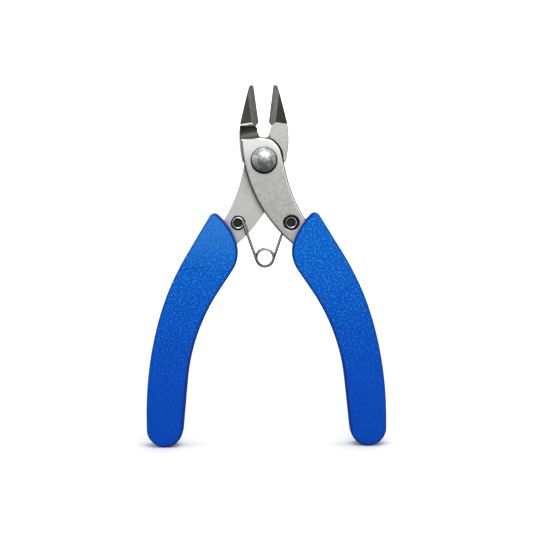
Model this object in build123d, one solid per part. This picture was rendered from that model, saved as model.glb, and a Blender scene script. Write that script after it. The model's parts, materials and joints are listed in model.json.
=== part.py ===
from build123d import *
import os
from math import asin, cos, degrees, hypot, radians, sin, sqrt, tan

# Sprue nippers, open. X runs to the right seen from the front, Y to the back, Z up from the
# grip ends to the blade tips. The origin is under the pivot, level with the grip ends.
# Outlines are drawn as (x, z) from the pivot axis, which runs along Y. The back lever and the
# left grip are the front lever and the right grip turned half a turn about Z.

# ---- driving dimensions, mm -------------------------------------------------------------
PIVOT_HEIGHT = 90.85
CLOSING_PER_LEVER = 7.5
PLATE = 2.6
RUNNING_GAP = 0.02
JAW_HALF = 2.3
THROUGH = 4.0
CUTTER_WIDTH = 60.0
CUTTER_DEPTH = 12.0

INNER_EDGE_CENTRE = (37.85, 7.8)
INNER_EDGE_RADIUS = 45.0
LOBE_CENTRE = (-0.88, 0.58)
LOBE_RADIUS = 6.7
LOBE_CLEARANCE = 0.12
WAIST_LEAN = 12.0
WAIST_Z = -3.6
TANG_CORNER = (12.6, -18.2)
TANG_SHANK = 4.0
THROAT_RADIUS = 0.5
THROAT_TURN = 66.6
FACE_ROUND = 0.8
JAW_ROUND = 0.45

BLADE_BASE_Z = 11.9
TIP_Z = 23.65
BLADE_SLOPE = 0.06
EDGE_DEPTH = 0.25
RIDGE = (3.74, -2.05)
OUTER_FACET = (7.2, -1.25)
BACK_BEVEL = (3.2, 2.2)
BACK_AT_TIP = 1.25
EDGE_GAP = 0.02
GROOVE_RADIUS = 3.4
GROOVE_TILT = 9.0
GROOVE_AT = (-4.2, -4.86, 9.05)
GROOVE_LENGTH = 12.0

SHANK_RADIUS = 2.3
SHANK_FIT = 0.01
SHANK_RUNNING = 0.05
HEAD_RADIUS = 4.2
HEAD_RIM = 0.35
HEAD_DOME = 1.75
HEAD_GAP = 0.04
TAIL_RADIUS = 3.9
TAIL_RIM = 0.3
TAIL_DOME = 1.3

EYE_AT = (8.47, -19.8)
EYE_HOLE_RADIUS = 2.4
EYE_HOLE_CHAMFER = 0.3
EYE_RADIUS = 1.65
EYE_TURN = 540.0
EYE_RISE = 1.4
WIRE = 0.9
LEG_DEPTH = 0.6
COIL_AT_Z = -30.88
COIL_RADIUS = 2.74
COIL_DEPTH = 0.85
COIL_SPLIT_GAP = 0.1
PIN_RADIUS = 1.12
PIN_HEAD = 0.3
LEFT_PIN_FRONT = -0.3
LEFT_PIN_HEAD_AT = 1.3
LEFT_PIN_HEAD_RADIUS = 2.36
RIGHT_PIN_FRONT = -0.7
RIGHT_PIN_HEAD_AT = 1.2
RIGHT_PIN_HEAD_RADIUS = 2.7

GRIP_HALF = 5.0
GRIP_ROUND = 1.2
GRIP_TOP = (16.36, -15.75)
GRIP_TOP_RADIUS = 1.7
NOSE_FLAT = 7.9
GRIP_END_RADIUS = 5.74
GRIP_END_CENTRE = (32.38, -85.11)
GRIP_INNER_LEAN = 5.7
POCKET_CLEARANCE = 0.03


# ---- helpers ----------------------------------------------------------------------------
def mirrored(points):
    return [(-x, z) for x, z in points]


def on_circle(centre, radius, angle):
    return (centre[0] + radius * cos(radians(angle)), centre[1] + radius * sin(radians(angle)))


def turned(point, angle):
    c, s = cos(radians(angle)), sin(radians(angle))
    return (point[0] * c - point[1] * s, point[0] * s + point[1] * c)


def slab(outline, front, back):
    """The (x, z) outline as a plate between the depths front and back."""
    plane = Plane(origin=(0, back, PIVOT_HEIGHT), x_dir=(1, 0, 0), z_dir=(0, -1, 0))
    return extrude(plane * outline, amount=back - front)


def polygon(points):
    return make_face(Polyline(*points, close=True))


def bar(at, radius, front, back):
    """A round bar along Y, or the hole that it leaves."""
    return slab(Pos(at[0], at[1]) * Circle(radius), front, back)


def half_turn(shape):
    return Rot(0, 0, 180) * shape


def face_edges(solid, depth, low, high):
    """The outline edges of the face at this depth whose middle lies between two heights."""
    def wanted(edge):
        middle = edge.position_at(0.5)
        ends = [edge.position_at(0), edge.position_at(1)]
        flat = all(abs(p.Y - depth) < 0.001 for p in [middle, *ends])
        return flat and low < middle.Z - PIVOT_HEIGHT < high
    return [edge for edge in solid.edges() if wanted(edge)]


# ---- lever ------------------------------------------------------------------------------
def inner_edge_x(z):
    return INNER_EDGE_CENTRE[0] - sqrt(INNER_EDGE_RADIUS**2 - (z - INNER_EDGE_CENTRE[1]) ** 2)


def plate_outline():
    """The front plate: jaw root at the left, lobe round the pivot, tang to the lower right."""
    top_z, mouth_z, middle_z = 9.6, -28.1, -9.0
    root = (inner_edge_x(top_z), top_z)
    mouth = (inner_edge_x(mouth_z), mouth_z)
    lobe_end = on_circle(LOBE_CENTRE, LOBE_RADIUS, WAIST_LEAN)
    lobe_top = on_circle(LOBE_CENTRE, LOBE_RADIUS, 90)
    lobe_side = on_circle(LOBE_CENTRE, LOBE_RADIUS, 50)
    throat_end = on_circle((lobe_top[0], lobe_top[1] + THROAT_RADIUS), THROAT_RADIUS, 270 - THROAT_TURN)
    waist_x = lobe_end[0] + (lobe_end[1] - WAIST_Z) * tan(radians(WAIST_LEAN))
    inner = ThreePointArc(root, (inner_edge_x(middle_z), middle_z), mouth)
    under_lobe = Line(lobe_end, (waist_x, WAIST_Z))
    waist = TangentArc(under_lobe @ 1, TANG_CORNER, tangent=under_lobe % 1)
    shank = Line(waist @ 1, waist @ 1 + waist % 1 * TANG_SHANK)
    lobe = ThreePointArc(lobe_end, lobe_side, lobe_top)
    throat = TangentArc(lobe_top, throat_end, tangent=(-1, 0))
    rise = (top_z - throat_end[1]) / sin(radians(THROAT_TURN))
    jaw_side = Line(throat @ 1, throat @ 1 + throat % 1 * rise)
    ends = [Line(mouth, shank @ 1), Line(jaw_side @ 1, root)]
    return make_face([inner, under_lobe, waist, shank, lobe, throat, jaw_side, *ends])


def tongue_outline():
    """The part of the tang that the grip hides."""
    return make_face(
        [
            ThreePointArc((10.4, -24.5), (19.6, -41.5), (27.2, -62.0)),
            Line((27.2, -62.0), (32.2, -60.6)),
            ThreePointArc((32.2, -60.6), (25.4, -39.6), (13.0, -20.0)),
            Line((13.0, -20.0), (10.4, -24.5)),
        ]
    )


def jaw_root_outline():
    """The half of the jaw behind the lap joint, outside the other lever's lobe."""
    shoulder_centre = turned((-LOBE_CENTRE[0], LOBE_CENTRE[1]), 2 * CLOSING_PER_LEVER)
    shoulder_radius = LOBE_RADIUS + LOBE_CLEARANCE
    finger_angle, side_angle = 181.6, 140
    finger_top = on_circle(shoulder_centre, shoulder_radius, finger_angle)
    inner_x = -1.9
    reach = degrees(asin((shoulder_centre[0] - inner_x) / shoulder_radius))
    inner = on_circle(shoulder_centre, shoulder_radius, 90 + reach)
    shoulder_side = on_circle(shoulder_centre, shoulder_radius, side_angle)
    return make_face(
        [
            ThreePointArc((-7.45, 11.6), (-7.85, 6.5), (-6.95, -0.2)),
            Line((-6.95, -0.2), (-6.68, -0.75)),
            Line((-6.68, -0.75), (-6.44, -0.75)),
            Line((-6.44, -0.75), finger_top),
            ThreePointArc(finger_top, shoulder_side, inner),
            Line(inner, (-2.05, 10.2)),
            Line((-2.05, 10.2), (-3.2, 10.9)),
            Line((-3.2, 10.9), (-3.2, 11.6)),
            Line((-3.2, 11.6), (-7.45, 11.6)),
        ]
    )


def blade_outline():
    """The blade before grinding. Its inner side is left proud for the bevels to cut."""
    return make_face(
        [
            Line((-7.13, 8.4), (-7.45, 11.6)),
            ThreePointArc((-7.45, 11.6), (-6.0, 17.6), (-4.62, 22.9)),
            Line((-4.62, 22.9), (-4.25, TIP_Z)),
            Line((-4.25, TIP_Z), (-2.8, TIP_Z)),
            Line((-2.8, TIP_Z), (-1.3, 12.4)),
            Line((-1.3, 12.4), (-2.6, 10.65)),
            Line((-2.6, 10.65), (-2.05, 10.2)),
            Line((-2.05, 10.2), (-2.05, 8.4)),
            Line((-2.05, 8.4), (-7.13, 8.4)),
        ]
    )


def beyond(points, sign):
    """The space past the plane through three (x, depth, z) points, towards -Y or +Y."""
    a, b, c = [Vector(x, y, z + PIVOT_HEIGHT) for x, y, z in points]
    normal = (b - a).cross(c - a).normalized()
    if normal.Y * sign < 0:
        normal = normal * -1
    plane = Plane(origin=a, x_dir=(b - a).normalized(), z_dir=normal)
    on_plane = (Align.CENTER, Align.CENTER, Align.MIN)
    return plane * Box(CUTTER_WIDTH, CUTTER_WIDTH, CUTTER_DEPTH, align=on_plane)


def blade_grinding(side):
    """What grinding takes off a blade: two facets and a taper, with the flat at the back.

    side is -1 for the left blade and +1 for the right one."""
    lean = tan(radians(CLOSING_PER_LEVER))

    def edge(z):
        return (side * (z * lean + EDGE_GAP), EDGE_DEPTH + BLADE_SLOPE * (z - BLADE_BASE_Z), z)

    def along(point, rise):
        x, y = point
        return (side * (x + rise * lean), y + BLADE_SLOPE * rise, BLADE_BASE_Z + rise)

    edge_low, edge_high = edge(BLADE_BASE_Z), edge(TIP_Z)
    inner_facet = beyond([edge_low, edge_high, along(RIDGE, 0)], -1)
    outer_facet = beyond([along(RIDGE, 0), along(RIDGE, TIP_Z - BLADE_BASE_Z), along(OUTER_FACET, 0)], -1)
    back_bevel = beyond([edge_low, edge_high, along(BACK_BEVEL, 0)], 1)
    taper_base = [(0, JAW_HALF, BLADE_BASE_Z), (1, JAW_HALF, BLADE_BASE_Z)]
    taper = beyond([*taper_base, (0, BACK_AT_TIP, TIP_Z)], 1)
    front_area = [(0.8, 9.82), (3.85, 11.85), (8.5, 11.25), (8.5, 25), (0.8, 25)]
    back_area = [(0.8, 10.1), (3.4, 11.4), (8.5, 11.4), (8.5, 25), (0.8, 25)]
    if side < 0:
        front_area, back_area = mirrored(front_area), mirrored(back_area)
    front = slab(polygon(front_area), -THROUGH, THROUGH)
    back = slab(polygon(back_area), -THROUGH, THROUGH)
    return [front & inner_facet, front & outer_facet, back & back_bevel, back & taper]


def lever_blank():
    """The front lever before its blade is ground."""
    plate = slab(plate_outline(), -PLATE, -RUNNING_GAP)
    plate = fillet(face_edges(plate, -PLATE, -24, 9.5), FACE_ROUND)
    jaw_root = slab(jaw_root_outline(), RUNNING_GAP, JAW_HALF)
    outer = [e for e in face_edges(jaw_root, JAW_HALF, -1, 12) if e.position_at(0.5).X < -7]
    jaw_root = fillet(outer, JAW_ROUND)
    blade = slab(blade_outline(), -JAW_HALF, JAW_HALF)
    lever = plate + slab(tongue_outline(), -PLATE, -RUNNING_GAP) + blade + jaw_root
    lever = lever.solids().sort_by(SortBy.VOLUME)[-1]
    groove = Pos(GROOVE_AT[0], GROOVE_AT[1], GROOVE_AT[2] + PIVOT_HEIGHT) * (
        Rot(0, 90 - GROOVE_TILT, 0) * Cylinder(GROOVE_RADIUS, GROOVE_LENGTH)
    )
    lever -= groove
    lever -= bar(EYE_AT, EYE_HOLE_RADIUS, -THROUGH, THROUGH)
    rim = Pos(EYE_AT[0], -PLATE, EYE_AT[1] + PIVOT_HEIGHT) * (
        Rot(-90, 0, 0)
        * Cone(EYE_HOLE_RADIUS + 2 * EYE_HOLE_CHAMFER, EYE_HOLE_RADIUS, 2 * EYE_HOLE_CHAMFER)
    )
    return lever - rim


def bored(lever, clearance):
    return lever - bar((0, 0), SHANK_RADIUS + clearance, -THROUGH, THROUGH)


def front_lever():
    lever = bored(lever_blank(), SHANK_RUNNING)
    for cut in blade_grinding(-1):
        lever -= cut
    return lever


def back_lever():
    lever = bored(half_turn(lever_blank()), SHANK_FIT)
    for cut in blade_grinding(1):
        lever -= cut
    return lever


# ---- rivet ------------------------------------------------------------------------------
def dome_middle(radius, rim, top):
    """The point halfway along a domed profile between its rim and its top."""
    height = abs(top - rim)
    sphere = (radius**2 + height**2) / (2 * height)
    angle = asin(radius / sphere) / 2
    inwards = 1 if rim > top else -1
    return (sphere * sin(angle), top + inwards * sphere * (1 - cos(angle)))


def pivot_rivet():
    """Domed head in front, shank through both plates, flatter formed tail behind."""
    under_head = -PLATE - HEAD_GAP
    head_top = under_head - HEAD_RIM - HEAD_DOME
    tail_top = PLATE + TAIL_RIM + TAIL_DOME
    head_rim = under_head - HEAD_RIM
    tail_rim = PLATE + TAIL_RIM
    head_middle = dome_middle(HEAD_RADIUS, head_rim, head_top)
    tail_middle = dome_middle(TAIL_RADIUS, tail_rim, tail_top)
    profile = make_face(
        [
            Line((0, head_top), (0, tail_top)),
            ThreePointArc((0, tail_top), tail_middle, (TAIL_RADIUS, tail_rim)),
            Line((TAIL_RADIUS, tail_rim), (TAIL_RADIUS, PLATE)),
            Line((TAIL_RADIUS, PLATE), (SHANK_RADIUS, PLATE)),
            Line((SHANK_RADIUS, PLATE), (SHANK_RADIUS, under_head)),
            Line((SHANK_RADIUS, under_head), (HEAD_RADIUS, under_head)),
            Line((HEAD_RADIUS, under_head), (HEAD_RADIUS, head_rim)),
            ThreePointArc((HEAD_RADIUS, head_rim), head_middle, (0, head_top)),
        ]
    )
    axis = Axis((0, 0, PIVOT_HEIGHT), (0, 1, 0))
    return revolve(Pos(0, 0, PIVOT_HEIGHT) * profile, axis)


# ---- return spring ----------------------------------------------------------------------
def turn_of_wire(centre, radius, start, sweep, depth, rise):
    """A left-hand helix about Y seen from the front, from the angle start, going back by rise."""
    out = (cos(radians(start)), 0, sin(radians(start)))
    plane = Plane(origin=(centre[0], depth, centre[1] + PIVOT_HEIGHT), x_dir=out, z_dir=(0, 1, 0))
    turns = sweep / 360
    return plane * Edge.make_helix(rise / turns, rise, radius, lefthand=True)


def spring_arm():
    """The left half of the spring: eye, leg and the coil as far as its top."""
    eye = (-EYE_AT[0], EYE_AT[1])
    span = hypot(eye[0], COIL_AT_Z - eye[1])
    crossing = degrees(asin((EYE_RADIUS + COIL_RADIUS) / span))
    toward_coil = degrees(asin(-eye[0] / span))
    leg_lean = toward_coil - crossing
    eye_start = leg_lean
    coil_start = 180 + leg_lean
    coil_sweep = 450 - coil_start - degrees(COIL_SPLIT_GAP / 2 / COIL_RADIUS)
    eye_wire = turn_of_wire(eye, EYE_RADIUS, eye_start, EYE_TURN, -LEG_DEPTH, EYE_RISE)
    coil_wire = turn_of_wire(
        (0, COIL_AT_Z), COIL_RADIUS, coil_start, coil_sweep, -COIL_DEPTH, COIL_DEPTH
    )
    leg = Line(eye_wire @ 0, coil_wire @ 0)
    return eye_wire, leg, coil_wire


def swept_wire(path):
    start = Plane(origin=path @ 0, z_dir=path % 0)
    return sweep(start * Circle(WIRE / 2), path=path, is_frenet=True)


def spring_left_arm():
    eye_wire, leg, coil_wire = spring_arm()
    path = Wire([*eye_wire.edges(), leg, *coil_wire.edges()])
    return swept_wire(path)


def spring_pin(x, front, head_at, head_radius):
    """A pin inside an eye, with a flat head behind it that closes the hole."""
    at = (x, EYE_AT[1])
    return bar(at, PIN_RADIUS, front, head_at) + bar(at, head_radius, head_at, head_at + PIN_HEAD)


# ---- grips ------------------------------------------------------------------------------
def grip_outline():
    """Bowed outside. Inside, straight from the foot, then curved, then a nose beside the spring."""
    end_x, end_z = GRIP_END_CENTRE
    straight_z = -70.0
    outer_low = (end_x + GRIP_END_RADIUS, end_z)
    bottom = (end_x, end_z - GRIP_END_RADIUS)
    inner_low = on_circle(GRIP_END_CENTRE, GRIP_END_RADIUS, 180 + GRIP_INNER_LEAN)
    straight_x = inner_low[0] - (straight_z - inner_low[1]) * tan(radians(GRIP_INNER_LEAN))
    outer = Line(GRIP_TOP, (24.89, -29.72))
    outer_upper = TangentArc(outer @ 1, (34.05, -50.9), tangent=outer % 1)
    outer_lower = TangentArc(outer_upper @ 1, (outer_low[0], -81.0), tangent=outer_upper % 1)
    foot = [Line(outer_lower @ 1, outer_low), ThreePointArc(outer_low, bottom, inner_low)]
    inner = Line(inner_low, (straight_x, straight_z))
    inner_curve = TangentArc(inner @ 1, (14.77, -41.36), tangent=inner % 1)
    under_nose = Line(inner_curve @ 1, inner_curve @ 1 + inner_curve % 1 * NOSE_FLAT)
    nose = TangentArc(under_nose @ 1, (9.2, -25.6), tangent=under_nose % 1)
    shoulder = TangentArc(nose @ 1, GRIP_TOP, tangent=nose % 1)
    outside = [outer, outer_upper, outer_lower, *foot]
    face = make_face([*outside, inner, inner_curve, under_nose, nose, shoulder])
    corner = face.vertices().sort_by(Axis.Y)[-1]
    return fillet(corner, GRIP_TOP_RADIUS)


def right_grip():
    body = slab(grip_outline(), -GRIP_HALF, GRIP_HALF)
    rims = face_edges(body, -GRIP_HALF, -100, 0) + face_edges(body, GRIP_HALF, -100, 0)
    body = fillet(rims, GRIP_ROUND)
    tang = plate_outline() + tongue_outline()
    pocket = offset(tang, POCKET_CLEARANCE)
    return body - slab(pocket, -PLATE - POCKET_CLEARANCE, POCKET_CLEARANCE)


# ---- parts ------------------------------------------------------------------------------
def main():
    os.makedirs("parts", exist_ok=True)
    grip = right_grip()
    arm = spring_left_arm()
    left_pin = spring_pin(-EYE_AT[0], LEFT_PIN_FRONT, LEFT_PIN_HEAD_AT, LEFT_PIN_HEAD_RADIUS)
    right_pin = spring_pin(EYE_AT[0], RIGHT_PIN_FRONT, RIGHT_PIN_HEAD_AT, RIGHT_PIN_HEAD_RADIUS)
    parts = {
        "front_lever": front_lever(),
        "back_lever": back_lever(),
        "pivot_rivet": pivot_rivet(),
        "right_grip": grip,
        "left_grip": half_turn(grip),
        "spring_left_arm": arm,
        "spring_right_arm": half_turn(arm),
        "spring_pin_left": left_pin,
        "spring_pin_right": right_pin,
    }
    for name, shape in parts.items():
        export_step(shape, f"parts/{name}.step")


main()
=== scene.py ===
import json
import math

import bpy
import bmesh
from mathutils import Matrix, Vector, noise


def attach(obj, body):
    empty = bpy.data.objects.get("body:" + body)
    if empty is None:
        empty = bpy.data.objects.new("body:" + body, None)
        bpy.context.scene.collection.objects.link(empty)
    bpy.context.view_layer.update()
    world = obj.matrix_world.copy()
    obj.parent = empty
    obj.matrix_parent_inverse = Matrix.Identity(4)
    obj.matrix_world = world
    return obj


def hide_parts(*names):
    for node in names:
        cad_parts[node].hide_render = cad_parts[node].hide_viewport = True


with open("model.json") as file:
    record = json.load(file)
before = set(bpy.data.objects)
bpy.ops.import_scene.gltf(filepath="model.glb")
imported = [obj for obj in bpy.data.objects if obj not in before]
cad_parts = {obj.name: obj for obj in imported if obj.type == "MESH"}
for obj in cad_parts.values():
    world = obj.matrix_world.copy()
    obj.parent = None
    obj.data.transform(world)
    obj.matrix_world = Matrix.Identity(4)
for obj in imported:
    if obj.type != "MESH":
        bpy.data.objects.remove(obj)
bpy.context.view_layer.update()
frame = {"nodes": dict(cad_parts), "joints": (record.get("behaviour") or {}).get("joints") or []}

# The tool stands open on its grip ends: +Z to the blade tips, the rivet's head towards -Y.
# Everything is in metres. MM turns a size in millimetres into metres.
MM = 0.001
JOINT_AT = {joint["name"]: Vector(joint["pos_m"]) for joint in frame["joints"]}
PIVOT = JOINT_AT["jaw_pivot"]

# ---- return spring ----
WIRE = 0.9 * MM
WIRE_ROUNDNESS = 5
EYE_RADIUS = 1.65 * MM
EYE_TURN = 540
EYE_RISE = 1.4 * MM
LEG_DEPTH = 0.6 * MM
COIL_BELOW_PIVOT = 30.88 * MM
COIL_RADIUS = 2.74 * MM
COIL_DEPTH = 0.85 * MM
COIL_TOP_ANGLE = 450
OVERLAP_TURN = 13.5
OVERLAP_THINNING = 0.88
POINTS_PER_TURN = 72

# ---- rivet ----
PLATE = 2.6 * MM
SHANK_RADIUS = 2.3 * MM
HEAD = {"radius": 4.2 * MM, "rim": 0.35 * MM, "dome": 1.75 * MM, "gap": 0.04 * MM}
TAIL = {"radius": 3.9 * MM, "rim": 0.3 * MM, "dome": 1.3 * MM, "gap": 0.0}
DOME_RINGS = 26
SIDES = 112
DENT_SIZE = 1.15 * MM
DENT_DEPTH = 0.075 * MM
# Painted shade round the rivet head's rim: its centre lifted so it is widest below, where it starts and
# where it is full.
RIM_SHADE_LIFT = 0.2 * MM
RIM_SHADE_START = 0.62 * MM
RIM_SHADE_FULL = 0.14 * MM

# ---- levers: the facets' lower border is a slope and its height above the pivot on the middle line
HEEL_RISE = 0.666
HEEL_AT = 9.29 * MM
FACET_FALL = -0.129
FACET_AT = 12.35 * MM
FACET_BLUR = 0.08 * MM
# The painted shade in the groove across the left jaw's root, by its heights above the pivot and where it
# ends outwards.
GROOVE_LOW = 6.4 * MM
GROOVE_HIGH = 11.1 * MM
GROOVE_BLUR = 0.4 * MM
GROOVE_END = -7.5 * MM
GROOVE_END_BLUR = 0.15 * MM
CREVICE_REACH = 1.5 * MM

# ---- grips ----
GRIP_VOXEL = 0.34 * MM
GRIP_SMOOTHING = 6
GRIP_SOFTNESS = 0.4
PARTING_LINE = 0.09 * MM
PARTING_WIDTH = 0.28 * MM
CREASE_MIDDLE = 22.4 * MM
CREASE_SLOPE = 0.15
CREASE_HEIGHT = 60.5 * MM

# ---- colours, as linear red, green and blue ----
STEEL = {
    "dull": (0.58, 0.585, 0.565),
    "clean": (0.70, 0.705, 0.685),
    "speck": (0.36, 0.365, 0.35),
    "pit": (0.26, 0.26, 0.25),
    # Painted shade on the walls that face sideways.
    "wall": (0.07, 0.07, 0.068),
    # Painted shade where the front plate's edges turn away.
    "edge": (0.04, 0.04, 0.038),
    # The next two are painted highlights on the front plate's top and right edge.
    "top_highlight": (0.93, 0.93, 0.91),
    "edge_highlight": (0.95, 0.95, 0.93),
    "tang": (0.93, 0.94, 0.90),
    "blade_back": (0.38, 0.38, 0.375),
    # The next three are painted shade in the front lever's groove and a painted highlight at its outer
    # end.
    "groove_shade": (0.03, 0.03, 0.028),
    "groove_shade_pale": (0.085, 0.085, 0.08),
    "groove_end_highlight": (0.6, 0.61, 0.58),
    # Painted shade in the levers' crevices.
    "painted_shade": (0.035, 0.035, 0.033),
}
# The ground facets, each from its dark grinding lines to its bright ones. Besides their finish, they carry
# painted light and shade: the facets that face left are painted brighter.
FRONT_FACET_SHADES = {
    "outer": ((0.045, 0.05, 0.045), (0.13, 0.136, 0.13)),
    "bevel": ((0.08, 0.08, 0.08), (0.245, 0.245, 0.24)),
}
BACK_FACET_SHADES = {
    "outer": ((0.035, 0.039, 0.035), (0.08, 0.085, 0.08)),
    "bevel": ((0.12, 0.12, 0.12), (0.35, 0.35, 0.345)),
}
# Its last colour is painted shade round the head's rim.
RIVET = {"dark": (0.22, 0.255, 0.255), "bright": (0.49, 0.50, 0.49), "painted_shade": (0.012, 0.014, 0.013)}
# The last two colours are painted shade: low on the coil and where the wire curves away.
SPRING = {
    "dull": (0.44, 0.44, 0.435),
    "bright": (0.62, 0.62, 0.61),
    "shaded": (0.10, 0.10, 0.098),
    "side": (0.025, 0.025, 0.024),
}
# Near-black, as painted shade for the spring holes.
PIN = {"dark": (0.012, 0.014, 0.013), "pale": (0.05, 0.055, 0.05)}
# The grips' blues. The paler top colour and the left grip's sheen are painted light; the rim colour is
# painted shade.
BLUE = {
    "low": (0.0, 0.049, 0.36),
    "high": (0.0, 0.088, 0.40),
    "blotch": (0.0, 0.038, 0.32),
    "painted_sheen": (0.08, 0.27, 0.52),
    "sparkle": (0.02, 0.19, 0.54),
    "rim": (0.0, 0.018, 0.19),
    "crease": (0.0, 0.05, 0.34),
}

# ---- camera and stage ----
VIEW_CENTRE = Vector((0.47, 0, 57.13)) * MM
VIEW_WIDTH = 169.6 * MM
CAMERA_DISTANCE = 0.46
CAMERA_ELEVATION = 4.0
CAMERA_ROLL = 0.53
SENSOR = 36.0
FLOOR_RADIUS = 1.2
FLOOR_RINGS = (0.0001, 0.2, 0.6, FLOOR_RADIUS)
FLOOR_BEND = 0.6
BEND_STEPS = 24
WALL_HEIGHT = 2.4
STAGE_SIDES = 96
GLOW_START = 0.07
GLOW_FULL = 0.8

# Height of a direction, from 0 straight down to 1 straight up, and the light from there.
HEIGHT_SHADES = ((0.0, 0.04), (0.42, 0.07), (0.58, 0.28), (0.75, 0.66), (1.0, 0.9))
# How far back a direction points, from 0 straight to the front to 1 straight back.
DEPTH_SHADES = ((0.0, 0.32), (0.10, 0.28), (0.33, 0.08), (0.5, 0.09), (0.75, 0.10), (1.0, 0.26))
# Each softbox's name, place, size and power in watts.
SOFTBOXES = (
    ("near_key", (0.02, -0.15, 0.21), (0.12, 0.10), 0.22),
    ("right", (0.55, -0.12, 0.16), (0.25, 0.5), 0.4),
    ("left", (-0.55, -0.20, 0.20), (0.25, 0.5), 0.6),
    ("front", (-0.30, -0.60, 0.55), (0.5, 0.5), 0.45),
    ("back", (0.25, 0.60, 0.45), (0.5, 0.5), 0.6),
    ("top", (0.1, 0.15, 0.9), (0.9, 0.9), 3.2),
)


# ---- helpers ----------------------------------------------------------------------------
def linked(obj):
    bpy.context.scene.collection.objects.link(obj)
    return obj


def smooth(mesh):
    for face in mesh.polygons:
        face.use_smooth = True


def half_turned(point):
    return Vector((-point.x, -point.y, point.z))


class Surface:
    """A material with a few short ways to add procedural nodes. Positions are the object's own."""

    def __init__(self, name, metallic, roughness):
        self.material = bpy.data.materials.new(name)
        self.material.use_nodes = True
        self.tree = self.material.node_tree
        self.shader = self.tree.nodes["Principled BSDF"]
        self.shader.inputs["Metallic"].default_value = metallic
        self.shader.inputs["Roughness"].default_value = roughness
        self.position = self.tree.nodes.new("ShaderNodeTexCoord").outputs["Object"]
        self.x, self.y, self.z = self.parts_of(self.position)

    def parts_of(self, vector):
        node = self.tree.nodes.new("ShaderNodeSeparateXYZ")
        self.tree.links.new(vector, node.inputs[0])
        return node.outputs

    def put(self, value, socket):
        if isinstance(value, bpy.types.NodeSocket):
            self.tree.links.new(value, socket)
        else:
            socket.default_value = value

    def maths(self, operation, a, b=0.0):
        node = self.tree.nodes.new("ShaderNodeMath")
        node.operation = operation
        self.put(a, node.inputs[0])
        self.put(b, node.inputs[1])
        return node.outputs[0]

    def times(self, a, b):
        return self.maths("MULTIPLY", a, b)

    def line(self, value, slope, height):
        """The height of a straight line at value."""
        return self.maths("ADD", self.times(value, slope), height)

    def distance(self, across, up):
        squares = self.maths("ADD", self.times(across, across), self.times(up, up))
        return self.maths("SQRT", squares)

    def ramp(self, value, low, high, to_low=0.0, to_high=1.0):
        """Smoothly from to_low at low to to_high at high."""
        node = self.tree.nodes.new("ShaderNodeMapRange")
        node.interpolation_type = "SMOOTHSTEP"
        self.put(value, node.inputs["Value"])
        node.inputs["From Min"].default_value = low
        node.inputs["From Max"].default_value = high
        node.inputs["To Min"].default_value = to_low
        node.inputs["To Max"].default_value = to_high
        return node.outputs["Result"]

    def stretched(self, scale):
        node = self.tree.nodes.new("ShaderNodeMapping")
        self.tree.links.new(self.position, node.inputs["Vector"])
        node.inputs["Scale"].default_value = scale
        return node.outputs["Vector"]

    def grain(self, size, detail=3.0, stretch=(1, 1, 1)):
        """Noise whose features are about size metres across."""
        node = self.tree.nodes.new("ShaderNodeTexNoise")
        self.tree.links.new(self.stretched(stretch), node.inputs["Vector"])
        node.inputs["Scale"].default_value = 1 / size
        node.inputs["Detail"].default_value = detail
        return node.outputs["Fac"]

    def mix(self, amount, low, high):
        node = self.tree.nodes.new("ShaderNodeMix")
        node.data_type = "RGBA"
        self.put(amount, node.inputs["Factor"])
        colours = [socket for socket in node.inputs if socket.type == "RGBA"]
        for value, socket in zip((low, high), colours):
            self.put(value if isinstance(value, bpy.types.NodeSocket) else (*value, 1), socket)
        return [socket for socket in node.outputs if socket.type == "RGBA"][0]

    def bump(self, height, distance, strength=1.0, under=None):
        node = self.tree.nodes.new("ShaderNodeBump")
        node.inputs["Distance"].default_value = distance
        self.put(strength, node.inputs["Strength"])
        self.put(height, node.inputs["Height"])
        if under is not None:
            self.tree.links.new(under, node.inputs["Normal"])
        return node.outputs["Normal"]

    def crevice_shade(self, colour, reach, dark):
        """The colour, darkened by painted shade where surfaces nearly meet."""
        node = self.tree.nodes.new("ShaderNodeAmbientOcclusion")
        node.samples = 8
        node.inputs["Distance"].default_value = reach
        openness = self.ramp(node.outputs["AO"], 0.25, 0.8)
        return self.mix(openness, dark, colour)

    def facing(self, axis, signed=False):
        """How far the surface faces along X or Y of the object, either way unless signed."""
        normal = self.tree.nodes.new("ShaderNodeTexCoord").outputs["Normal"]
        part = self.parts_of(normal)[axis]
        return part if signed else self.maths("ABSOLUTE", part)

    def finish(self, colour, roughness, normal):
        self.put(colour, self.shader.inputs["Base Color"])
        self.put(roughness, self.shader.inputs["Roughness"])
        self.put(normal, self.shader.inputs["Normal"])
        return self.material


# ---- lever steel ------------------------------------------------------------------------
def blade_mask(s):
    """1 on the ground facets. Their lower border rises from the heel and then falls outwards."""
    out = s.maths("ABSOLUTE", s.x)
    rise = s.line(out, HEEL_RISE, PIVOT.z + HEEL_AT)
    fall = s.line(out, FACET_FALL, PIVOT.z + FACET_AT)
    above = s.maths("SUBTRACT", s.z, s.maths("MINIMUM", rise, fall))
    return s.ramp(above, -FACET_BLUR, FACET_BLUR)


def tumbled_satin(s, middling):
    """Satin steel with darker specks and pits, and painted shade on the walls that face sideways."""
    specks = s.ramp(middling, 0.36, 0.64, 0.28, 0.0)
    pits = s.ramp(s.grain(0.55 * MM, detail=1), 0.66, 0.74, 0.0, 0.4)
    wall_shade = s.ramp(s.facing(1), 0.12, 0.5, 0.85, 0.0)
    satin = s.mix(s.grain(3.2 * MM), STEEL["dull"], STEEL["clean"])
    satin = s.mix(specks, satin, STEEL["speck"])
    satin = s.mix(pits, satin, STEEL["pit"])
    return s.mix(wall_shade, satin, STEEL["wall"])


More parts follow.
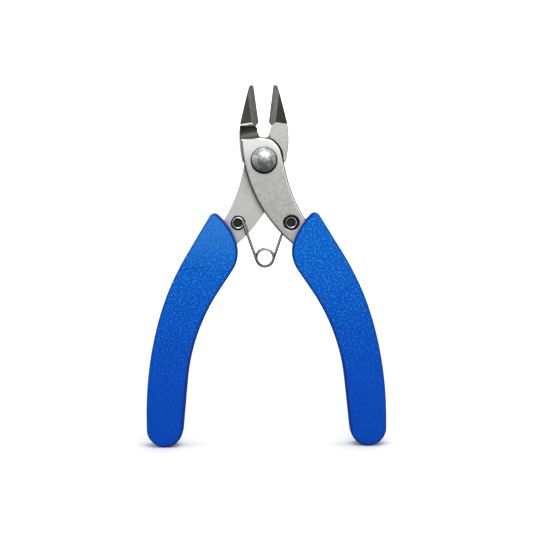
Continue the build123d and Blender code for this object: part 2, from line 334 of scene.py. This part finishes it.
def ground_steel(s, lines, facets):
    """Dark outer facets, paler bevels beside the cutting edges, and pale backs. The facets' shades are
    partly their finish and partly painted light and shade.
    """
    bevels = s.ramp(s.facing(0), 0.42, 0.58)
    backs = s.ramp(s.facing(1, signed=True), -0.1, 0.1)
    ground = s.mix(bevels, s.mix(lines, *facets["outer"]), s.mix(lines, *facets["bevel"]))
    return s.mix(backs, ground, STEEL["blade_back"])


def front_plate_painted_light(s, satin):
    """Painted highlights at the top and along the right edge, and painted shade where both edges turn
    away.
    """
    sideways = s.facing(0, signed=True)
    front = s.ramp(s.facing(1, signed=True), -0.6, -0.2, 1.0, 0.0)
    top_highlight = s.times(front, s.ramp(s.z, PIVOT.z - 5 * MM, PIVOT.z + GROOVE_LOW, 0.0, 0.9))
    left_edge_shade = s.ramp(sideways, -0.8, -0.25, 0.92, 0.0)
    edge_highlight = s.times(s.ramp(sideways, 0.15, 0.4), s.ramp(s.facing(1), 0.5, 0.7))
    right_edge_shade = s.ramp(sideways, 0.44, 0.64, 0.0, 0.9)
    satin = s.mix(top_highlight, satin, STEEL["top_highlight"])
    satin = s.mix(left_edge_shade, satin, STEEL["edge"])
    satin = s.mix(edge_highlight, satin, STEEL["edge_highlight"])
    return s.mix(right_edge_shade, satin, STEEL["edge"])


def tang_paling(s, satin):
    """Paler towards the grip."""
    return s.mix(s.ramp(s.z, PIVOT.z - 16 * MM, PIVOT.z - 2 * MM, 0.42, 0.0), satin, STEEL["tang"])


def with_groove_shade(s, colour, fine):
    """The colour with painted shade in the groove across it, and a painted highlight at the groove's outer
    end.
    """
    low, high = PIVOT.z + GROOVE_LOW, PIVOT.z + GROOVE_HIGH
    between = s.times(s.ramp(s.z, low, low + GROOVE_BLUR), s.ramp(s.z, high - GROOVE_BLUR, high, 1.0, 0.0))
    sunk = s.ramp(s.y, 0.02 * MM - PLATE, 0.15 * MM - PLATE)
    inner = s.ramp(s.x, GROOVE_END - GROOVE_END_BLUR, GROOVE_END + GROOVE_END_BLUR)
    dark = s.mix(fine, STEEL["groove_shade"], STEEL["groove_shade_pale"])
    return s.mix(s.times(between, sunk), colour, s.mix(inner, STEEL["groove_end_highlight"], dark))


def lever_steel(name, facets, is_front):
    """Tumbled satin steel with ground blades and painted shade in its crevices. The front lever has
    painted highlights and shade on its plate and groove.
    """
    s = Surface(name, metallic=1.0, roughness=0.4)
    fine, middling = s.grain(0.28 * MM), s.grain(0.75 * MM, detail=2)
    lines = s.grain(0.22 * MM, detail=2, stretch=(1, 1, 0.06))
    blade = blade_mask(s)
    satin = tumbled_satin(s, middling)
    satin = front_plate_painted_light(s, satin) if is_front else tang_paling(s, satin)
    colour = s.mix(blade, satin, ground_steel(s, lines, facets))
    if is_front:
        colour = with_groove_shade(s, colour, fine)
    colour = s.crevice_shade(colour, CREVICE_REACH, STEEL["painted_shade"])
    rough = s.maths("SUBTRACT", s.ramp(fine, 0.3, 0.7, 0.36, 0.54), s.times(blade, 0.12))
    tumbled = s.bump(s.maths("ADD", fine, middling), 0.022 * MM, 0.7)
    normal = s.bump(lines, 0.006 * MM, s.times(blade, 0.6), under=tumbled)
    return s.finish(colour, rough, normal)


# ---- the other materials ----------------------------------------------------------------
def rivet_steel():
    """Hammered head, with painted shade round its rim, most of it below."""
    s = Surface("rivet_steel", metallic=1.0, roughness=0.24)
    broad, fine = s.grain(1.3 * MM, detail=2), s.grain(0.2 * MM)
    colour = s.mix(s.ramp(broad, 0.35, 0.65), RIVET["dark"], RIVET["bright"])
    outward = s.distance(s.x, s.maths("SUBTRACT", s.z, PIVOT.z + RIM_SHADE_LIFT))
    painted_shade = s.ramp(outward, HEAD["radius"] - RIM_SHADE_START, HEAD["radius"] - RIM_SHADE_FULL)
    colour = s.mix(painted_shade, colour, RIVET["painted_shade"])
    rough = s.ramp(fine, 0.3, 0.7, 0.36, 0.5)
    return s.finish(colour, rough, s.bump(fine, 0.005 * MM, 0.4))


def spring_steel():
    """Drawn wire, bright in front and behind, with painted shade where it curves away and low on the coil.
    """
    s = Surface("spring_wire", metallic=1.0, roughness=0.25)
    drawn = s.grain(0.16 * MM, detail=2)
    coil = PIVOT.z - COIL_BELOW_PIVOT
    shaded = s.ramp(s.z, coil - COIL_RADIUS, coil + COIL_RADIUS, 0.75, 0.0)
    bright = s.mix(s.grain(1.4 * MM), SPRING["dull"], SPRING["bright"])
    bright = s.mix(shaded, bright, SPRING["shaded"])
    colour = s.mix(s.ramp(s.facing(1), 0.78, 0.96), SPRING["side"], bright)
    rough = s.ramp(drawn, 0.3, 0.7, 0.2, 0.34)
    return s.finish(colour, rough, s.bump(drawn, 0.004 * MM, 0.4))


# The spring pins, their colour painted as dark as the shade inside the spring holes.
def hole_shade_pin_steel():
    s = Surface("pin_steel", metallic=0.8, roughness=0.5)
    fine = s.grain(0.25 * MM)
    colour = s.mix(fine, PIN["dark"], PIN["pale"])
    return s.finish(colour, s.ramp(fine, 0.3, 0.7, 0.4, 0.6), s.bump(fine, 0.01 * MM, 0.5))


def crease(s):
    """0 on a faint flow line across the front of the left grip, and 1 everywhere else."""
    line = s.line(s.x, CREASE_SLOPE, CREASE_HEIGHT)
    near = s.ramp(s.maths("ABSOLUTE", s.maths("SUBTRACT", s.z, line)), 0.0, 0.3 * MM)
    beyond = s.ramp(s.maths("ABSOLUTE", s.maths("ADD", s.x, CREASE_MIDDLE)), 3.4 * MM, 5.0 * MM)
    behind = s.ramp(s.y, -1 * MM, 0)
    return s.maths("MAXIMUM", near, s.maths("MAXIMUM", beyond, behind))


def painted_rim_shade(s):
    """How strongly painted shade darkens the grip's rounded edges, wider on the inner side than on the
    outer.
    """
    inward = s.times(s.maths("SIGN", s.x), s.facing(0, signed=True))
    return s.times(s.ramp(s.facing(1), 0.72, 0.98, 0.9, 0.0), s.ramp(inward, -0.1, 0.25, 0.95, 0.4))


def grip_plastic():
    """Blue moulded plastic, coarser near its top and painted paler there as light from above. A painted
    sheen makes the left grip's top paler still.
    """
    s = Surface("grip_plastic", metallic=0.0, roughness=0.5)
    s.shader.inputs["Specular IOR Level"].default_value = 0.05
    upper = s.ramp(s.z, 25 * MM, 74 * MM)
    coarse, grain = s.grain(0.62 * MM, detail=2), s.grain(0.36 * MM, detail=2)
    blotches = s.times(s.grain(7 * MM, detail=1), 0.3)
    # Painted sheen on the left grip's top.
    painted_sheen = s.times(s.ramp(s.z, 54 * MM, 72 * MM, 0.0, 0.19), s.ramp(s.x, -2 * MM, 2 * MM, 1.0, 0.0))
    sparkle = s.times(s.ramp(coarse, 0.48, 0.68), s.ramp(s.z, 8 * MM, 68 * MM, 0.16, 0.75))
    mark = crease(s)
    colour = s.mix(upper, BLUE["low"], BLUE["high"])
    colour = s.mix(blotches, colour, BLUE["blotch"])
    colour = s.mix(painted_sheen, colour, BLUE["painted_sheen"])
    colour = s.mix(sparkle, colour, BLUE["sparkle"])
    colour = s.mix(painted_rim_shade(s), colour, BLUE["rim"])
    colour = s.mix(mark, BLUE["crease"], colour)
    rough = s.ramp(grain, 0.3, 0.7, 0.44, 0.6)
    skin = s.maths("ADD", s.times(coarse, 0.7), grain)
    bumps = s.bump(skin, 0.045 * MM, s.line(upper, 0.75, 0.25))
    return s.finish(colour, rough, s.bump(mark, 0.12 * MM, under=bumps))


def paper():
    """White backdrop paper. It glows a little away from the tool, so that the wall is pale too."""
    s = Surface("backdrop_paper", metallic=0.0, roughness=0.9)
    s.shader.inputs["Base Color"].default_value = (0.8, 0.8, 0.8, 1)
    s.shader.inputs["Emission Color"].default_value = (1, 1, 1, 1)
    glow = s.ramp(s.distance(s.x, s.y), GLOW_START, GLOW_FULL)
    s.put(glow, s.shader.inputs["Emission Strength"])
    return s.material


def repaint(node, material):
    for slot in frame["nodes"][node].material_slots:
        slot.link = "OBJECT"
        slot.material = material


# ---- spring -----------------------------------------------------------------------------
def arc(centre, radius, start, sweep, depth, rise):
    """Points on a helix about Y, counter-clockwise seen from the front, going back by rise."""
    steps = max(2, round(abs(sweep) / 360 * POINTS_PER_TURN))
    points = []
    for i in range(steps + 1):
        angle = math.radians(start + sweep * i / steps)
        x, z = centre.x + radius * math.cos(angle), centre.z + radius * math.sin(angle)
        points.append(Vector((x, depth + rise * i / steps, z)))
    return points


def arm_path():
    """The left arm from inside its eye to the top of the coil, and the hidden overlap past it."""
    eye = JOINT_AT["spring_left_eye"]
    coil = Vector((0, 0, PIVOT.z - COIL_BELOW_PIVOT))
    span = (coil - eye).length
    crossing = math.degrees(math.asin((EYE_RADIUS + COIL_RADIUS) / span))
    lean = math.degrees(math.asin(-eye.x / span)) - crossing
    eye_turns = arc(eye, EYE_RADIUS, lean, EYE_TURN, -LEG_DEPTH, EYE_RISE)
    start = 180 + lean
    coil_turns = arc(coil, COIL_RADIUS, start, COIL_TOP_ANGLE - start, -COIL_DEPTH, COIL_DEPTH)
    overlap = arc(coil, COIL_RADIUS, COIL_TOP_ANGLE, OVERLAP_TURN, 0, 0)[1:]
    return list(reversed(eye_turns)) + coil_turns, overlap


def spring_arm(side, material):
    wire, overlap = arm_path()
    if side == "right":
        wire, overlap = [half_turned(p) for p in wire], [half_turned(p) for p in overlap]
    curve = bpy.data.curves.new(f"spring_{side}_wire", "CURVE")
    curve.dimensions = "3D"
    curve.bevel_depth = WIRE / 2
    curve.bevel_resolution = WIRE_ROUNDNESS
    curve.use_fill_caps = True
    spline = curve.splines.new("POLY")
    points = wire + overlap
    spline.points.add(len(points) - 1)
    for i, point in enumerate(points):
        spline.points[i].co = (*point, 1)
        spline.points[i].radius = 1.0 if i < len(wire) else OVERLAP_THINNING
    spline.use_smooth = True
    curve.materials.append(material)
    arm = linked(bpy.data.objects.new(f"spring_{side}_wire", curve))
    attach(arm, f"spring_{side}")
    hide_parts(f"spring_{side}_arm")


# ---- rivet ------------------------------------------------------------------------------
def dome_profile(end, sign):
    """(radius, depth) from the middle of a dome out to its rim and in to the shank."""
    under = sign * (PLATE + end["gap"])
    rim = under + sign * end["rim"]
    sphere = (end["radius"] ** 2 + end["dome"] ** 2) / (2 * end["dome"])
    widest = math.asin(end["radius"] / sphere)
    rings = []
    for i in range(DOME_RINGS + 1):
        angle = widest * i / DOME_RINGS
        drop = sphere * (1 - math.cos(angle))
        rings.append((sphere * math.sin(angle), rim + sign * (end["dome"] - drop)))
    return rings + [(end["radius"], under), (SHANK_RADIUS, under)]


def dented(point, radius):
    """Shallow hammer dents on the domes, each a hollow round its own centre, fading at the rim."""
    if abs(point.y) < PLATE:
        return point
    inside = max(0.0, 1 - (radius / HEAD["radius"]) ** 6)
    nearest = noise.voronoi((point - PIVOT) / DENT_SIZE)[0][0]
    dent = (nearest**2 - 1) * DENT_DEPTH * inside
    return point + Vector((0, math.copysign(dent, point.y), 0))


def rivet_row(bm, radius, depth):
    """A ring of vertices round the rivet's axis, or the one in the middle of a dome."""
    if radius < 1e-9:
        return [bm.verts.new(dented(Vector((0, depth, PIVOT.z)), 0.0))]
    row = []
    for i in range(SIDES):
        angle = math.tau * i / SIDES
        at = Vector((radius * math.cos(angle), depth, PIVOT.z + radius * math.sin(angle)))
        row.append(bm.verts.new(dented(at, radius)))
    return row


def rivet(material):
    rings = dome_profile(HEAD, -1) + list(reversed(dome_profile(TAIL, 1)))
    bm = bmesh.new()
    rows = [rivet_row(bm, radius, depth) for radius, depth in rings]
    for row, following in zip(rows, rows[1:]):
        for i in range(SIDES):
            after = (i + 1) % SIDES
            corners = [row[i % len(row)], row[after % len(row)]]
            corners += [following[after % len(following)], following[i % len(following)]]
            # A dome's middle is one vertex, so its faces are triangles.
            bm.faces.new(list(dict.fromkeys(corners)))
    bmesh.ops.recalc_face_normals(bm, faces=bm.faces)
    mesh = bpy.data.meshes.new("rivet_forged")
    bm.to_mesh(mesh)
    bm.free()
    smooth(mesh)
    mesh.materials.append(material)
    piece = linked(bpy.data.objects.new("rivet_forged", mesh))
    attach(piece, "back_half")
    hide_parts("pivot_rivet")


# ---- grips ------------------------------------------------------------------------------
def even_skin(node):
    """The node's mesh as an even grid with softly rounded edges."""
    draft = linked(bpy.data.objects.new("draft", node.data.copy()))
    remesh = draft.modifiers.new("skin", "REMESH")
    remesh.mode = "VOXEL"
    remesh.voxel_size = GRIP_VOXEL
    soften = draft.modifiers.new("soften", "SMOOTH")
    soften.iterations = GRIP_SMOOTHING
    soften.factor = GRIP_SOFTNESS
    depsgraph = bpy.context.evaluated_depsgraph_get()
    mesh = bpy.data.meshes.new_from_object(draft.evaluated_get(depsgraph))
    bpy.data.objects.remove(draft)
    return mesh


def raise_parting_line(mesh):
    """A fine ridge round the grip where the two halves of its mould met."""
    normals = [vertex.normal.copy() for vertex in mesh.vertices]
    for vertex, normal in zip(mesh.vertices, normals):
        sideways = max(0.0, 1 - abs(normal.y) * 3)
        ridge = math.exp(-((vertex.co.y / PARTING_WIDTH) ** 2))
        vertex.co += normal * PARTING_LINE * ridge * sideways


def grip(side, body, material):
    mesh = even_skin(frame["nodes"][f"{side}_grip"])
    raise_parting_line(mesh)
    smooth(mesh)
    mesh.materials.clear()
    mesh.materials.append(material)
    piece = linked(bpy.data.objects.new(f"{side}_grip_moulded", mesh))
    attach(piece, body)
    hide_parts(f"{side}_grip")


# ---- stage ------------------------------------------------------------------------------
def turned_sheet(name, profile, material):
    """A sheet turned round the Z axis from (radius, height) points."""
    bm = bmesh.new()
    turns = [math.tau * i / STAGE_SIDES for i in range(STAGE_SIDES)]
    rows = []
    for radius, height in profile:
        rows.append([bm.verts.new((radius * math.cos(a), radius * math.sin(a), height)) for a in turns])
    for row, following in zip(rows, rows[1:]):
        for i in range(STAGE_SIDES):
            after = (i + 1) % STAGE_SIDES
            bm.faces.new((row[i], row[after], following[after], following[i]))
    mesh = bpy.data.meshes.new(name)
    bm.to_mesh(mesh)
    bm.free()
    smooth(mesh)
    mesh.materials.append(material)
    sheet = linked(bpy.data.objects.new(name, mesh))
    sheet.visible_glossy = False
    return sheet


def round_backdrop():
    """A pale round floor that curves up into a wall on every side, well away from the tool."""
    white = paper()
    turned_sheet("floor", [(radius, 0.0) for radius in FLOOR_RINGS], white)
    bend = []
    for i in range(BEND_STEPS + 1):
        angle = math.radians(90 * i / BEND_STEPS)
        out, up = FLOOR_BEND * math.sin(angle), FLOOR_BEND * (1 - math.cos(angle))
        bend.append((FLOOR_RADIUS + out, up))
    wall = turned_sheet("wall", [*bend, (FLOOR_RADIUS + FLOOR_BEND, WALL_HEIGHT)], white)
    wall.visible_diffuse = False
    wall.visible_shadow = False


def softbox(name, at, size, power):
    light = bpy.data.lights.new(name, "AREA")
    light.shape = "RECTANGLE"
    light.size, light.size_y = size
    light.energy = power
    lamp = linked(bpy.data.objects.new(name, light))
    lamp.location = at
    lamp.rotation_euler = (VIEW_CENTRE - Vector(at)).to_track_quat("-Z", "Y").to_euler()


def shades(tree, direction, stops):
    """Grey light that varies with one part of the direction, -1 to 1."""
    lift = tree.nodes.new("ShaderNodeMapRange")
    lift.inputs["From Min"].default_value = -1
    tree.links.new(direction, lift.inputs["Value"])
    ramp = tree.nodes.new("ShaderNodeValToRGB")
    stop = ramp.color_ramp.elements
    for element, (position, shade) in zip((stop[0], stop[1]), (stops[0], stops[-1])):
        element.position = position
        element.color = (shade, shade, shade, 1)
    for position, shade in stops[1:-1]:
        stop.new(position).color = (shade, shade, shade, 1)
    tree.links.new(lift.outputs["Result"], ramp.inputs["Fac"])
    return ramp.outputs["Color"]


def studio_world():
    """Bright overhead, softer straight in front and behind, dim to the sides and dark below."""
    world = bpy.data.worlds.new("studio")
    world.use_nodes = True
    tree = world.node_tree
    direction = tree.nodes.new("ShaderNodeSeparateXYZ")
    tree.links.new(tree.nodes.new("ShaderNodeTexCoord").outputs["Generated"], direction.inputs[0])
    total = tree.nodes.new("ShaderNodeVectorMath")
    tree.links.new(shades(tree, direction.outputs["Z"], HEIGHT_SHADES), total.inputs[0])
    tree.links.new(shades(tree, direction.outputs["Y"], DEPTH_SHADES), total.inputs[1])
    tree.links.new(total.outputs[0], tree.nodes["Background"].inputs["Color"])
    bpy.context.scene.world = world


def camera():
    data = bpy.data.cameras.new("camera")
    data.sensor_width = SENSOR
    data.lens = SENSOR * CAMERA_DISTANCE / VIEW_WIDTH
    data.clip_start, data.clip_end = 0.01, 20
    elevation = math.radians(CAMERA_ELEVATION)
    back = Vector((0, -math.cos(elevation), math.sin(elevation)))
    obj = linked(bpy.data.objects.new("camera", data))
    aim = (-back).to_track_quat("-Z", "Y").to_matrix().to_4x4()
    roll = Matrix.Rotation(math.radians(-CAMERA_ROLL), 4, "Z")
    obj.matrix_world = Matrix.Translation(VIEW_CENTRE + back * CAMERA_DISTANCE) @ aim @ roll
    bpy.context.scene.camera = obj
    bpy.context.scene.view_settings.view_transform = "Standard"


# ---- the tool ---------------------------------------------------------------------------
def main():
    repaint("front_lever", lever_steel("front_lever_steel", FRONT_FACET_SHADES, is_front=True))
    repaint("back_lever", lever_steel("back_lever_steel", BACK_FACET_SHADES, is_front=False))
    pins = hole_shade_pin_steel()
    repaint("spring_pin_left", pins)
    repaint("spring_pin_right", pins)
    wire, plastic = spring_steel(), grip_plastic()
    for side, body in (("left", "back_half"), ("right", "front_half")):
        spring_arm(side, wire)
        grip(side, body, plastic)
    rivet(rivet_steel())
    round_backdrop()
    studio_world()
    for name, at, size, power in SOFTBOXES:
        softbox(name, at, size, power)
    camera()


main()
